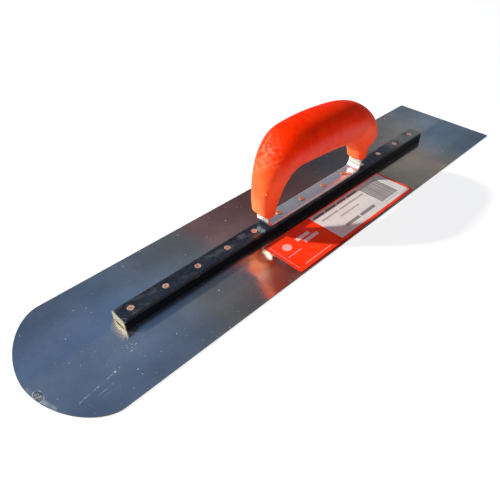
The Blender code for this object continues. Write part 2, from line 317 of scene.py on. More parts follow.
def blade_scratches(m, toe, top):
    """The scratches that stand out one by one. The toe is a y and the top a z."""
    cuts = m.most(
        m.times(m.stroke((31.2, toe + 16.0), (27.4, toe + 39.5), 0.38), 0.62),
        m.times(m.stroke((30.2, toe + 17.0), (28.6, toe + 30.5), 0.34), 0.40),
        m.times(m.stroke((34.0, toe + 26.0), (32.8, toe + 35.5), 0.50), 0.6),
        m.times(m.stroke((36.2, toe + 27.5), (37.2, toe + 37.0), 0.40), 0.4),
        m.times(m.stroke((-46.0, toe + 53.0), (-23.0, toe + 51.5), 0.90), 0.25),
        m.times(m.stroke((38.5, toe + 113.5), (44.0, toe + 118.0), 0.40), 0.6),
        m.times(m.stroke((18.5, toe + 134.0), (29.0, toe + 139.8), 0.35), 0.4),
    )
    cuts = m.times(cuts, m.fade(m.noise(1.5, 4.0, 0.7), 0.32, 0.66), 0.85)
    gouge = m.distance((27.3, toe + 40.2, top), (1.1, 0.8, 4.0))
    return m.most(cuts, m.times(m.fade(gouge, 1.2, 0.5), 0.55))


def blade_dust(m, toe, top, spill):
    """Specks and short scratches all over, with the marks at the toe and the crumbs by the bar."""
    dust = m.most(
        m.times(m.marks(4.4, 0.50, 0.55, shift=3.0), 0.66),
        m.times(m.marks(2.7, 0.36, 0.45, shift=71.0), 0.34),
        m.times(m.marks(8.0, 0.42, 0.50, stretch=(1, 2.6, 1), turn=-40.0, shift=63.0), 0.46),
        m.times(m.marks(5.2, 0.30, 0.60, stretch=(1, 4.0, 1), turn=63.0, shift=17.0), 0.34),
        m.times(m.marks(9.0, 0.34, 0.55, stretch=(1, 6, 1), turn=-22.0, shift=83.0), 0.34),
        m.times(m.marks(11.0, 0.55, 0.30, stretch=(1, 1.8, 1), turn=35.0, shift=27.0), 0.9),
        m.marks(31.0, 0.85, 0.30, stretch=(1, 2.0, 1), turn=25.0, shift=14.0),
    )
    dust = m.times(dust, m.fade(m.noise(35.0, 2.0, shift=51.0), 0.30, 0.50, 0.35, 1.0))
    ring = m.times(m.fade(m.apart(spill, 0.92), 0.20, 0.04), 0.34)
    ring = m.times(ring, m.fade(m.noise(2.0, 3.0, 0.6, shift=37.0), 0.40, 0.54, 0.20, 1.0))
    broken = m.noise(1.3, 4.0, 0.7, shift=13.0)
    inside = m.times(m.fade(spill, 0.85, 0.6), m.fade(broken, 0.54, 0.60), 0.55)
    smear = m.stroke((3.5, toe + 1.0), (25.0, toe + 6.2), 1.8)
    smear = m.times(smear, m.fade(m.noise(9.0, 1.0, shift=3.0), 0.30, 0.70, 0.10, 0.34))
    by_bar = m.distance((19.0, toe + 57.0, top), (4.6, 3.6, 4.0))
    crumbs = m.fade(m.noise(1.3, 3.0, 0.7, shift=8.0), 0.58, 0.66)
    crumbs = m.times(m.fade(by_bar, 1.3, 0.7), crumbs, 0.62)
    return m.most(dust, m.times(blade_scratches(m, toe, top), 0.85), ring, inside, smear, crumbs)


def blade_unevenness(m):
    """Heights of the sheet's slight bends, which show in its reflections only, with their depths."""
    high = box_mm("blade")[1]
    bar_low = box_mm("mounting_bar")[0]
    foot = box_mm("blade_label")[0].y
    curl = m.math("POWER", m.math("MAXIMUM", m.math("DIVIDE", m.x, high.x), 0.0), 3.0)
    curl = m.times(curl, m.fade(m.y, 30.0, -25.0))
    crown = m.math("POWER", m.times(m.fade(m.x, 18.0, 7.0), m.fade(m.x, 0.0, 5.0)), 2.0)
    crown = m.times(
        crown,
        m.fade(m.y, bar_low.y - 2.0, bar_low.y + 12.0),
        m.fade(m.y, foot + 23.5, foot + 3.5),
    )
    swell = m.times(
        m.fade(m.y, foot - 6.5, foot - 30.5),
        m.fade(m.y, foot - 62.5, foot - 34.5),
        m.fade(m.x, 30.0, 8.0),
        m.fade(m.x, 3.0, 8.0),
    )
    dish = m.times(
        m.math("POWER", m.fade(m.x, 13.0, 28.0), 2.0),
        m.fade(m.y, foot - 22.5, foot - 4.5),
        m.fade(m.y, foot + 9.5, foot - 0.5),
        m.fade(m.x, 50.0, 30.0),
    )
    waves = m.noise(45.0, 1.0, shift=8.0)
    return (curl, 2.1), (crown, 0.55), (swell, 1.1), (dish, 0.55), (waves, 0.05)


def blade_material():
    low, high = box_mm("blade")
    bar_low = box_mm("mounting_bar")[0]
    foot = box_mm("blade_label")[0].y
    m = Surface("blued_spring_steel")
    rubs = m.most(
        m.marks(9.0, 0.14, 0.30, stretch=(1, 26, 1), turn=-28.0),
        m.marks(13.0, 0.18, 0.28, stretch=(1, 20, 1), turn=37.0, shift=9.0),
        m.marks(17.0, 0.20, 0.25, stretch=(1, 30, 1), turn=-76.0, shift=21.0),
    )
    spill = m.distance((11.6, low.y + 3.6, high.z), (4.5, 2.6, 4.0))
    dust = blade_dust(m, low.y, high.z, spill)

    # The blade is brighter and cream in a slanting patch in front of the bar's toe end, a painted
    # reflection of the bar's end face.
    ahead = m.times(m.math("SUBTRACT", bar_low.y, m.y), 1.39)
    sideways = m.apart(m.x, m.times(ahead, 0.695))
    end_face_reflection = m.times(m.fade(ahead, -0.6, 0.2), m.fade(ahead, 10.5, 5.5), m.fade(sideways, 8.4, 6.6))
    level = m.facing((0.0, 0.0, 1.0), 0.4, 0.8)

    tint = m.mix(m.times(rubs, 0.5), blade_bands(m), (0.90, 0.90, 0.90, 1.0))
    tint = m.mix(m.times(m.fade(spill, 0.95, 0.75), 0.75), tint, (0.16, 0.18, 0.26, 1.0))
    tint = m.mix(m.times(end_face_reflection, 0.80), tint, (0.98, 0.90, 0.76, 1.0))
    # The cut edges are dark grey: painted shade.
    tint = m.mix(level, (0.10, 0.10, 0.12, 1.0), tint)
    m.set("Base Color", m.mix(m.times(dust, 0.85), tint, (0.52, 0.47, 0.37, 1.0)))
    m.set("Metallic", m.times(m.fade(level, 0.0, 1.0, 0.6, 0.97), m.fade(dust, 0.2, 0.8, 1.0, 0.0)))

    beside_bar = m.times(
        m.fade(m.x, 18.0, 12.0),
        m.fade(m.x, 0.0, 5.0),
        m.fade(m.y, foot - 6.5, foot - 18.5),
        m.fade(m.y, bar_low.y - 2.0, bar_low.y + 10.0),
    )
    rough = m.fade(m.noise(30.0, 3.0, shift=44.0), 0.35, 0.7, 0.125, 0.185)
    rough = m.math("ADD", rough, m.times(rubs, 0.20))
    rough = m.math("ADD", rough, m.fade(level, 0.0, 1.0, 0.35, 0.0))
    rough = m.math("ADD", rough, m.times(beside_bar, 0.14))
    rough = m.math("ADD", rough, m.times(end_face_reflection, 0.10))
    m.set("Roughness", m.math("ADD", rough, m.times(dust, 0.6), clamp=True))
    m.relief(*blade_unevenness(m), (rubs, -0.006), (dust, 0.05))
    return m.material


def bar_material():
    low, high = box_mm("mounting_bar")
    m = Surface("black_bar_paint")
    patchy = m.noise(14.0, 4.0, 0.65, stretch=(1, 3, 1))
    top = m.fade(m.z, high.z - 1.2, high.z - 0.2)
    darker = (0.0035, 0.0075, 0.0180, 1.0)
    paler = (0.013, 0.019, 0.032, 1.0)
    paint = m.mix(m.fade(patchy, 0.35, 0.7), darker, paler)
    # The sides are near black, darker than the top: painted shade.
    paint = m.mix(top, (0.0030, 0.0036, 0.0060, 1.0), paint)
    # Paler grey on the top toward the heel.
    paler_toward_heel = m.fade(m.noise(9.0, 4.0, 0.6, shift=6.0), 0.22, 0.5)
    paler_toward_heel = m.times(m.fade(m.y, high.y - 56.3, high.y - 26.3), paler_toward_heel, top)
    paint = m.mix(m.times(paler_toward_heel, 0.80), paint, (0.140, 0.140, 0.138, 1.0))
    haze = m.noise(7.0, 5.0, 0.65, stretch=(1, 2.5, 1), turn=-18.0, shift=41.0)
    paint = m.mix(m.times(m.fade(haze, 0.50, 0.68), top, 0.8), paint, (0.080, 0.082, 0.086, 1.0))
    speckle = m.times(m.fade(m.noise(0.8, 4.0, 0.8, shift=23.0), 0.50, 0.72), top)
    paint = m.mix(m.times(speckle, 0.80), paint, (0.055, 0.068, 0.072, 1.0))
    scuffs = m.most(
        m.marks(6.0, 0.16, 0.40, stretch=(1, 14, 1), turn=-52.0),
        m.marks(8.0, 0.18, 0.40, stretch=(1, 11, 1), turn=24.0, shift=12.0),
        m.times(m.marks(4.0, 0.34, 0.30, shift=4.0), 0.8),
        m.times(m.marks(7.0, 0.16, 0.40, stretch=(1, 16, 1), turn=-8.0, shift=33.0), 0.6),
    )
    paint = m.mix(m.times(scuffs, m.fade(top, 0.0, 1.0, 0.3, 0.8)), paint, (0.20, 0.20, 0.20, 1.0))

    # Wear and rust by the fifth rivet, a smudge by the first and a chip at the toe end's corner.
    first, fifth = (sum(box_mm(node), Vector()) / 2.0 for node in ("rivet_01", "rivet_05"))
    worn = m.distance((4.2, fifth.y + 4.4, high.z), (2.6, 2.2, 3.0))
    worn = m.times(m.fade(m.math("ADD", worn, m.times(patchy, 0.8)), 1.50, 1.20), top)
    smudge = m.distance((4.4, first.y - 1.6, high.z), (1.8, 1.5, 3.0))
    worn = m.most(worn, m.times(m.fade(smudge, 1.2, 0.3), m.fade(m.noise(1.6, 3.0), 0.35, 0.6), 0.45))
    rust = m.distance((5.6, fifth.y - 2.4, high.z), (2.4, 3.6, 3.0))
    rust = m.times(m.fade(rust, 1.2, 0.3), m.fade(m.noise(1.4, 4.0, 0.6), 0.35, 0.6))
    chip = m.distance((high.x - 1.6, low.y + 1.0, high.z), (1.7, 1.5, 3.0))
    chip = m.times(m.fade(m.apart(chip, 0.85), 0.26, 0.12), 0.6)

    # Bare metal on both ends and in nicks of the top edges.
    bare_to = m.fade(m.x, -2.0, low.x + 0.6, 0.30, 1.3)
    ragged = m.times(m.math("SUBTRACT", m.noise(1.8, 3.0, 0.6, shift=19.0), 0.5), 0.8)
    from_end = m.math("ADD", m.math("SUBTRACT", m.y, low.y), ragged)
    end = m.fade(m.math("SUBTRACT", from_end, bare_to), 0.1, -0.1)
    end = m.most(end, m.fade(m.y, high.y - 0.60, high.y - 0.35))
    edge = m.most(m.fade(m.x, high.x - 1.0, high.x - 0.3), m.fade(m.x, low.x + 1.0, low.x + 0.3))
    edge = m.times(edge, m.fade(m.z, high.z - 1.9, high.z - 0.9))
    nicks = m.times(edge, m.fade(m.noise(3.2, 4.0, 0.7, stretch=(1, 4, 1)), 0.60, 0.68), 0.8)
    level = m.facing((0.0, 0.0, 1.0), 0.3, 0.7)
    bare = m.most(chip, end, nicks)
    colour = m.mix(m.times(worn, 0.80), paint, (0.17, 0.20, 0.215, 1.0))
    colour = m.mix(m.times(edge, 0.35), colour, (0.075, 0.050, 0.042, 1.0))
    colour = m.mix(m.times(rust, 0.75), colour, (0.27, 0.075, 0.030, 1.0))
    sawn = m.fade(m.noise(0.8, 3.0, 0.7, stretch=(6, 1, 1)), 0.3, 0.7)
    metal = m.mix(sawn, (0.350, 0.298, 0.204, 1.0), (0.420, 0.365, 0.262, 1.0))
    # Bare metal that faces up is bluish grey, a painted reflection of the sky; the end faces keep the
    # cream sawn colour.
    metal = m.mix(level, metal, (0.140, 0.155, 0.165, 1.0))
    m.set("Base Color", m.mix(bare, colour, metal))
    m.set("Metallic", m.times(bare, level, 0.4))
    sheen = m.fade(m.noise(3.4, 5.0, 0.7, stretch=(1, 1.8, 1), shift=52.0), 0.34, 0.66, 0.16, 0.56)
    m.set("Specular IOR Level", m.most(m.times(sheen, top), 0.10))
    rough = m.fade(m.noise(2.5, 3.0), 0.3, 0.7, 0.27, 0.42)
    rough = m.math("ADD", rough, m.times(m.most(worn, paler_toward_heel, scuffs, bare), 0.30))
    m.set("Roughness", rough)
    m.relief((m.noise(2.2, 3.0), 0.03), (m.noise(0.6, 3.0), 0.012), (m.most(scuffs, bare), -0.03))
    return m.material


def strap_material():
    low, high = box_mm("handle_strap")
    m = Surface("bright_strap_steel")
    brushed = m.noise(0.35, 3.0, 0.6, stretch=(1, 60, 60))
    clouds = m.noise(7.0, 3.0, 0.6, shift=17.0)
    colour = m.mix(m.fade(clouds, 0.3, 0.7), (0.78, 0.80, 0.84, 1.0), (0.88, 0.89, 0.91, 1.0))
    colour = m.tone(colour, m.fade(brushed, 0.25, 0.75, 0.95, 1.04))
    stain = m.times(m.fade(m.noise(4.0, 4.0, 0.65, shift=2.0), 0.56, 0.68), 0.35)
    colour = m.mix(stain, colour, (0.50, 0.44, 0.38, 1.0))

    # Creases across the rear bend.
    bend = m.times(m.fade(m.y, high.y - 8.0, high.y - 3.0), m.fade(m.z, low.z + 9.0, low.z + 4.0))
    creases = m.fade(m.noise(1.6, 2.0, stretch=(SAME_ALONG, 1, 1), shift=3.0), 0.54, 0.64)
    colour = m.mix(m.times(bend, creases, 0.5), colour, (0.45, 0.30, 0.27, 1.0))
    pits = m.marks(3.4, 0.20, 0.3, shift=5.0)
    colour = m.mix(m.times(pits, 0.6), colour, (0.25, 0.22, 0.21, 1.0))

    # The tangs are pale cream, a painted highlight, apart from the lower right of the front one, which
    # is blue-grey, a painted reflection.
    upright = m.fade(m.z, low.z + 2.5, low.z + 6.5)
    front = m.fade(m.y, low.y + 6.0, low.y + 3.0)
    lower = m.math("SUBTRACT", m.times(m.x, 0.8), m.times(m.math("SUBTRACT", m.z, low.z + 8.5), 0.9))
    blue_grey_reflection = m.times(front, m.fade(lower, -2.5, 1.5))
    pale_highlight = m.math("SUBTRACT", upright, m.times(upright, blue_grey_reflection))
    colour = m.mix(m.times(blue_grey_reflection, 0.8), colour, (0.56, 0.70, 0.78, 1.0))
    colour = m.mix(m.times(pale_highlight, 0.8), colour, (0.72, 0.73, 0.66, 1.0))

    # Two reddish lines low on the rear tang, painted reflections, and pale rims, a painted highlight,
    # that are red by the front one.
    red_reflection_lines = m.most(
        m.fade(m.apart(m.z, low.z + 8.6), 0.45, 0.15),
        m.fade(m.apart(m.z, low.z + 5.2), 0.45, 0.15),
    )
    red_reflection_lines = m.times(red_reflection_lines, m.fade(m.y, high.y - 12.0, high.y - 9.0))
    colour = m.mix(m.times(red_reflection_lines, 0.75), colour, (0.30, 0.17, 0.15, 1.0))
    # Pale rims along both edges are a painted highlight.
    rim = m.most(m.fade(m.x, high.x - 0.6, high.x - 0.25), m.fade(m.x, low.x + 0.6, low.x + 0.25))
    colour = m.mix(m.times(rim, 0.6), colour, (0.66, 0.58, 0.52, 1.0))
    m.set("Base Color", m.mix(m.times(rim, front, 0.8), colour, (0.75, 0.16, 0.12, 1.0)))
    m.set("Metallic", m.math("SUBTRACT", m.fade(rim, 0.0, 1.0, 0.94, 0.55), m.times(pale_highlight, 0.30)))
    rough = m.math("ADD", m.fade(clouds, 0.3, 0.7, 0.18, 0.22), m.times(stain, 0.3))
    turned = m.most(m.fade(m.y, high.y - 12.0, high.y - 8.0), m.fade(m.y, low.y + 5.0, low.y + 3.0))
    rough = m.math("ADD", rough, m.times(turned, 0.14))
    m.set("Roughness", m.math("ADD", rough, m.times(rim, 0.12)))
    m.relief((m.times(creases, bend), -0.02), (pits, -0.01))
    return m.material


def copper_material():
    """Plated studs: a darker centre on each, found from the row's pitch, and duller on the strap."""
    first = sum(box_mm("rivet_01"), Vector()) / 2.0
    pitch = (box_mm(f"rivet_{RIVETS:02d}")[0].y - box_mm("rivet_01")[0].y) / (RIVETS - 1)
    strap_low = box_mm("handle_strap")[0]
    m = Surface("copper_plated_steel")
    m.set("Metallic", 0.8)
    clouds = m.noise(1.3, 4.0, 0.65)
    colour = m.mix(m.fade(clouds, 0.3, 0.7), (0.95, 0.46, 0.29, 1.0), (1.0, 0.66, 0.48, 1.0))
    span = {0: m.y, 1: first.y + pitch / 2.0, 2: first.y - pitch / 2.0}
    from_row = m.math("SUBTRACT", m.add("ShaderNodeMath", span, operation="WRAP").outputs[0], first.y)
    blotch = m.times(m.math("SUBTRACT", m.noise(1.1, 3.0, 0.6, shift=29.0), 0.5), 1.6)
    radius = m.math("SQRT", m.math("ADD", m.times(m.x, m.x), m.times(from_row, from_row)))
    centre = m.fade(m.math("ADD", radius, blotch), 1.3, 0.5)
    colour = m.mix(m.times(centre, 0.40), colour, (0.42, 0.15, 0.09, 1.0))
    on_strap = m.fade(m.z, strap_low.z + 0.5, strap_low.z + 1.5)
    colour = m.mix(m.times(on_strap, 0.45), colour, (0.36, 0.17, 0.11, 1.0))
    dark = m.fade(m.noise(0.9, 3.0, 0.6, shift=7.0), 0.56, 0.68)
    m.set("Base Color", m.mix(m.times(dark, 0.6), colour, (0.26, 0.11, 0.075, 1.0)))
    m.set("Roughness", m.fade(clouds, 0.3, 0.7, 0.34, 0.55))
    m.relief((m.noise(0.7, 3.0), 0.05))
    return m.material


def handle_material():
    """Orange-red plastic, paler on the legs and toward the key light as painted light, and pale on the
    front shoulder, partly rubbed and partly a painted highlight.
    """
    low, high = box_mm("handle")
    m = Surface("orange_moulded_plastic")
    mottle = m.noise(9.0, 5.0, 0.62)
    fine = m.noise(0.9, 3.0, 0.6)
    colour = m.mix(m.fade(mottle, 0.3, 0.7), (0.92, 0.018, 0.0004, 1.0), (1.00, 0.034, 0.0010, 1.0))

    # The plastic pales down the legs and on faces that turn to the key light, most of all low on the
    # front one's outer face: painted light.
    rear = m.fade(m.y, 45.0, 62.0, 0.0, 7.0)
    legs = m.fade(m.math("SUBTRACT", m.math("ADD", m.z, m.times(mottle, 8.0)), rear), 71.0, 50.0)
    pale = m.facing((-0.55, -1.1, 0.3), 0.2, 0.85)
    colour = m.mix(m.times(legs, 0.85), colour, (1.00, 0.072, 0.0050, 1.0))
    lower = m.times(m.fade(m.z, 42.0, 24.0), m.fade(m.y, 20.0, 0.0, 0.35, 1.0))
    lit_orange = m.mix(lower, (1.00, 0.145, 0.034, 1.0), (1.00, 0.275, 0.090, 1.0))
    colour = m.mix(m.times(legs, pale, 0.9), colour, lit_orange)

    # Pale on the front shoulder, partly rubbed and partly a painted highlight, and scraped here and
    # there.
    shoulder = m.distance((-4.0, low.y + 14.0, high.z - 22.0), (16.0, 15.0, 25.0))
    shoulder = m.math("ADD", shoulder, m.times(mottle, 1.3))
    rub_and_highlight = m.times(m.fade(shoulder, 1.85, 0.9), m.fade(m.noise(2.6, 5.0, 0.7, shift=9.0), 0.38, 0.64))
    colour = m.mix(m.times(rub_and_highlight, 0.48), colour, (1.00, 0.32, 0.145, 1.0))
    scrapes = m.most(
        m.marks(7.0, 0.20, 0.25, stretch=(1, 9, 9), turn=20.0),
        m.marks(9.0, 0.45, 0.14, shift=6.0),
    )
    colour = m.mix(m.times(scrapes, 0.25), colour, (0.98, 0.26, 0.12, 1.0))

    # Duller where it faces up, darker on the label's side as painted shade, and glossy on the pip.
    upward = m.facing((0.0, 0.0, 1.0), -0.2, 0.48)
    aside = m.facing((1.0, 0.0, 0.1), 0.2, 0.85)
    colour = m.tone(colour, m.most(m.fade(aside, 0.0, 1.0, 1.0, 0.86), legs))
    m.set("Base Color", m.tone(colour, m.fade(fine, 0.25, 0.75, 0.96, 1.03)))
    glossy = m.fade(m.distance(PIP), 2.4, 1.6)
    shine = m.most(m.fade(upward, 0.0, 1.0, 0.32, 0.02), m.times(rub_and_highlight, 0.12), m.times(glossy, 0.6))
    m.set("Specular IOR Level", shine)
    rough = m.fade(m.noise(5.0, 4.0, shift=3.0), 0.3, 0.7, 0.44, 0.58)
    rough = m.math("ADD", rough, m.times(rub_and_highlight, 0.10))
    m.set("Roughness", m.math("SUBTRACT", rough, m.times(glossy, 0.22)))
    m.relief((m.noise(6.0, 3.0, shift=4.0), 0.12), (fine, 0.035), (m.noise(0.35, 2.0), 0.010))
    return m.material


def label_material():
    """Printed sticker: a red ground, a pale panel, plain bars in place of words, and stripes."""
    low, high = box_mm("blade_label")
    m = Surface("printed_label_film")
    m.set("Specular IOR Level", 0.3)
    ink_noise = m.noise(0.7, 3.0, 0.6)
    faint = m.noise(12.0, 4.0, 0.6, shift=11.0)
    red = m.mix(m.fade(faint, 0.3, 0.7), (0.95, 0.028, 0.0015, 1.0), (1.00, 0.048, 0.003, 1.0))
    white = m.mix(m.fade(faint, 0.3, 0.7), (0.64, 0.635, 0.60, 1.0), (0.71, 0.715, 0.68, 1.0))
    panel = m.box((low.x + 1.3, high.x - 2.7), (low.y + 49.0, high.y - 2.4))
    colour = m.mix(panel, red, white)

    # A plain disc and plain bars on the red ground.
    disc = m.distance((low.x + 12.4, low.y + 12.0, high.z))
    pale = m.most(
        m.times(m.fade(disc, 3.8, 3.4), 0.62),
        m.times(m.box((low.x + 20.2, low.x + 20.8), (low.y + 4.8, low.y + 18.6)), 0.35),
        m.box((low.x + 10.2, low.x + 13.2), (low.y + 23.0, low.y + 36.5)),
        m.box((low.x + 15.2, low.x + 18.2), (low.y + 26.5, low.y + 41.0)),
        m.times(m.box((low.x + 3.2, high.x - 3.5), (low.y + 2.4, low.y + 2.7)), 0.35),
        m.times(m.box((high.x - 3.8, high.x - 3.4), (low.y + 9.0, low.y + 37.0)), 0.5),
    )
    colour = m.mix(m.times(pale, 0.85), colour, (0.80, 0.74, 0.71, 1.0))

    # A plain bar stands for each word: each row has its place across the label, its bars' places
    # along it and their strength.
    words = (
        ((3.4, 5.2), ((51.3, 63.5), (65.5, 78.0), (80.0, 90.5), (92.5, 105.0)), 0.78),
        ((9.9, 11.3), ((54.0, 73.0), (75.5, 106.0)), 0.50),
        ((16.5, 17.7), ((69.5, 92.5),), 0.45),
        ((25.8, 28.4), ((63.0, 79.5), (81.5, 99.5)), 0.74),
    )
    dark = []
    for across, spans, strength in words:
        for start, end in spans:
            place = ((low.x + across[0], low.x + across[1]), (low.y + start, low.y + end))
            dark.append(m.times(m.box(*place, soft=0.4), strength))
    stripes = m.noise(0.9, 1.0, 0.5, stretch=(SAME_ALONG, 1, SAME_ALONG), shift=4.0)
    stripes = m.fade(stripes, 0.42, 0.56, 0.30, 0.82)
    code = m.box((low.x + 5.4, high.x - 8.0), (low.y + 108.5, low.y + 131.0))
    dark.append(m.times(code, stripes))
    dark.append(m.times(m.box((low.x + 30.2, low.x + 31.4), (low.y + 110.0, low.y + 129.0)), 0.25))
    ink = m.times(m.most(*dark), m.fade(ink_noise, 0.2, 0.5, 0.86, 1.0))
    colour = m.mix(ink, colour, (0.045, 0.038, 0.048, 1.0))

    grime = m.times(m.fade(m.noise(5.0, 5.0, 0.7, shift=23.0), 0.50, 0.75), 0.22)
    m.set("Base Color", m.mix(grime, colour, (0.32, 0.24, 0.20, 1.0)))
    m.set("Roughness", m.fade(m.noise(8.0, 4.0, shift=2.0), 0.3, 0.7, 0.28, 0.46))
    m.relief((m.noise(16.0, 3.0, shift=6.0), 0.16), (m.noise(0.6, 2.0), 0.004))
    return m.material


def floor_material():
    m = Surface("pale_floor")
    m.set("Roughness", 0.9)
    m.set("Specular IOR Level", 0.0)
    m.set("Base Color", (0.26, 0.26, 0.26, 1.0))
    m.set("Emission Color", (1.0, 1.0, 1.0, 1.0))
    m.set("Emission Strength", 0.80)
    return m.material


# ------------------------------------------------------------------------------------- pieces


def new_piece(name, mesh_data, material):
    """A smooth-shaded piece that rides with the tool's only body."""
    bmesh.ops.recalc_face_normals(mesh_data, faces=mesh_data.faces)
    mesh = bpy.data.meshes.new(name)
    mesh_data.to_mesh(mesh)
    mesh_data.free()
    mesh.materials.append(material)
    mesh.shade_smooth()
    piece = bpy.data.objects.new(name, mesh)
    bpy.context.scene.collection.objects.link(piece)
    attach(piece, "root")
    return piece


def skin(mesh_data, rings):
    """Join point rings, given in millimetres, into a closed body."""
    rows = [[mesh_data.verts.new(Vector(point) * MM) for point in ring] for ring in rings]
    for lower, upper in zip(rows, rows[1:]):
        for side in range(len(lower)):
            following = (side + 1) % len(lower)
            mesh_data.faces.new((lower[side], lower[following], upper[following], upper[side]))
    mesh_data.faces.new(rows[0])
    mesh_data.faces.new(rows[-1])


RIVETS = 13
STRAP_RIVET_RADIUS = 2.5  # Heads wider than this lie domed on the strap; the others are flush.
SHANK_RADIUS = 1.6
LIP = 0.06
HEAD_STEPS = 8
RIVET_SIDES = 36


def make_rivet(number, material):
    """Stud with a hammered head: a rounded rim, a shallow dish and small dents."""
    node = f"rivet_{number:02d}"
    low, high = box_mm(node)
    centre = (low + high) / 2.0
    radius = (high.x - low.x) / 2.0
    domed = radius > STRAP_RIVET_RADIUS
    rise, depth = (0.55, 0.62) if domed else (0.12, 1.2)
    under = high.z - depth
    rim = high.z - rise + LIP
    profile = [
        (0.3, low.z),
        (SHANK_RADIUS, low.z),
        (SHANK_RADIUS, under),
        (radius * 0.97, high.z - rise),
        (radius, rim),
    ]
    for step in range(1, HEAD_STEPS + 1):
        share = 1.0 - step / (HEAD_STEPS + 0.5)
        crown = math.sqrt(1.0 - share * share) if domed else 1.0 - share ** 6
        dish = 0.10 * math.exp(-((share / 0.45) ** 2))
        profile.append((radius * share, rim + (rise - LIP) * crown - dish))
    rings = []
    for distance, height in profile:
        ring = []
        for side in range(RIVET_SIDES):
            angle = 2.0 * math.pi * side / RIVET_SIDES
            x = distance * math.cos(angle)
            y = distance * math.sin(angle)
            dent = 0.0
            reach = 1.0
            if height > under + 0.1:
                around = Vector((math.cos(angle), math.sin(angle), number * 3.1))
                dent = noise.noise(Vector((x * 0.9, y * 0.9, number * 7.3))) * 0.10
                reach = 1.0 + 0.05 * noise.noise(around)
            ring.append((centre.x + x * reach, centre.y + y * reach, height + dent))
        rings.append(ring)
    mesh_data = bmesh.new()
    skin(mesh_data, rings)
    piece = new_piece(f"rivet_stud_{number:02d}", mesh_data, material)
    piece.data.set_sharp_from_angle(angle=math.radians(60.0))
    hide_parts(node)


# Stations of the handle's centre line, as in the CAD model: y and z of the centre, half depth,
# half width and the fullness of the section.
GRIP = (
    (-41.4, 18.6, 3.9, 7.6, 3.4),
    (-40.9, 21.0, 6.0, 8.5, 3.2),
    (-40.6, 25.5, 7.2, 9.0, 2.8),
    (-39.4, 32.8, 9.1, 9.8, 2.5),
    (-35.4, 46.1, 11.3, 12.1, 2.3),
    (-28.4, 57.4, 13.4, 14.8, 2.2),
    (-18.6, 63.9, 14.9, 16.9, 2.2),
    (-5.0, 64.9, 15.8, 17.5, 2.2),
    (9.8, 64.4, 16.5, 17.4, 2.2),
    (24.0, 63.3, 16.8, 17.0, 2.2),
    (38.2, 61.3, 17.0, 16.5, 2.2),
    (51.8, 57.6, 16.6, 15.9, 2.2),
    (64.0, 50.0, 15.5, 15.3, 2.2),
    (71.8, 40.4, 14.2, 14.1, 2.2),
)
REAR_LEG = (
    (70.9, 20.1, 4.8, 7.7, 3.4),
    (70.9, 22.5, 6.4, 7.9, 3.2),
    (70.2, 27.5, 6.6, 8.8, 2.8),
    (70.2, 34.3, 8.7, 9.9, 2.5),
    (71.5, 42.4, 10.6, 12.0, 2.2),
)
GRIP_DOME = 6.5  # The grip's last section closes with a dome, inside the rear leg.
VOXEL = 0.6
PIP = (6.8, -45.6, 40.9)
PIP_REACH = 3.2
PIP_RISE = 1.5

STRAP_THICK = 2.2
STRAP_EASE = 0.45
FRONT_BEND = 5.0
REAR_BEND = 7.5
EASE_STEPS = 4
BEND_STEPS = 32
TANG_TRIM = 0.5


def make_strap(material):
    """Strap swept along its bends: a flat base between two tangs, with eased edges."""
    low, high = box_mm("handle_strap")
    half_width = (high.x - low.x) / 2.0
    half_thick = STRAP_THICK / 2.0
    top = high.z - TANG_TRIM
    path = [(low.y + half_thick, top, 0.0)]
    bends = ((low.y + FRONT_BEND, FRONT_BEND, 180.0), (high.y - REAR_BEND, REAR_BEND, 270.0))
    for centre_y, radius, start in bends:
        middle = radius - half_thick
        for step in range(BEND_STEPS + 1):
            angle = math.radians(start + 90.0 * step / BEND_STEPS)
            y = centre_y + middle * math.cos(angle)
            z = low.z + radius + middle * math.sin(angle)
            path.append((y, z, angle - math.pi))
    path.append((high.y - half_thick, top, math.pi))
    outline = []
    for corner, (side_x, side_n) in enumerate(((1, 1), (-1, 1), (-1, -1), (1, -1))):
        for step in range(EASE_STEPS + 1):
            angle = math.radians(90.0 * (corner + step / EASE_STEPS))
            across = side_x * (half_width - STRAP_EASE) + STRAP_EASE * math.cos(angle)
            outward = side_n * (half_thick - STRAP_EASE) + STRAP_EASE * math.sin(angle)
            outline.append((across, outward))
    rings = []
    for y, z, turn in path:
        inward = Vector((0.0, math.cos(turn), math.sin(turn)))
        rings.append([Vector((across, y, z)) + inward * outward for across, outward in outline])
    mesh_data = bmesh.new()
    skin(mesh_data, rings)
    piece = new_piece("strap_bent", mesh_data, material)
    piece.data.set_sharp_from_angle(angle=math.radians(50.0))
    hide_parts("handle_strap")


def station_at(stations, position):
    """Catmull-Rom value of the stations at a fractional row."""
    row = min(int(position), len(stations) - 2)
    t = position - row
    around = [stations[min(max(row + k, 0), len(stations) - 1)] for k in (-1, 0, 1, 2)]
    values = []
    for a, b, c, d in zip(*around):
        square = (2 * a - 5 * b + 4 * c - d) * t ** 2
        cube = (3 * b - a - 3 * c + d) * t ** 3
        values.append(0.5 * (2 * b + (c - a) * t + square + cube))
    return values


def power(value, exponent):
    """Power of a value's size, with the value's sign."""
    return math.copysign(abs(value) ** exponent, value)


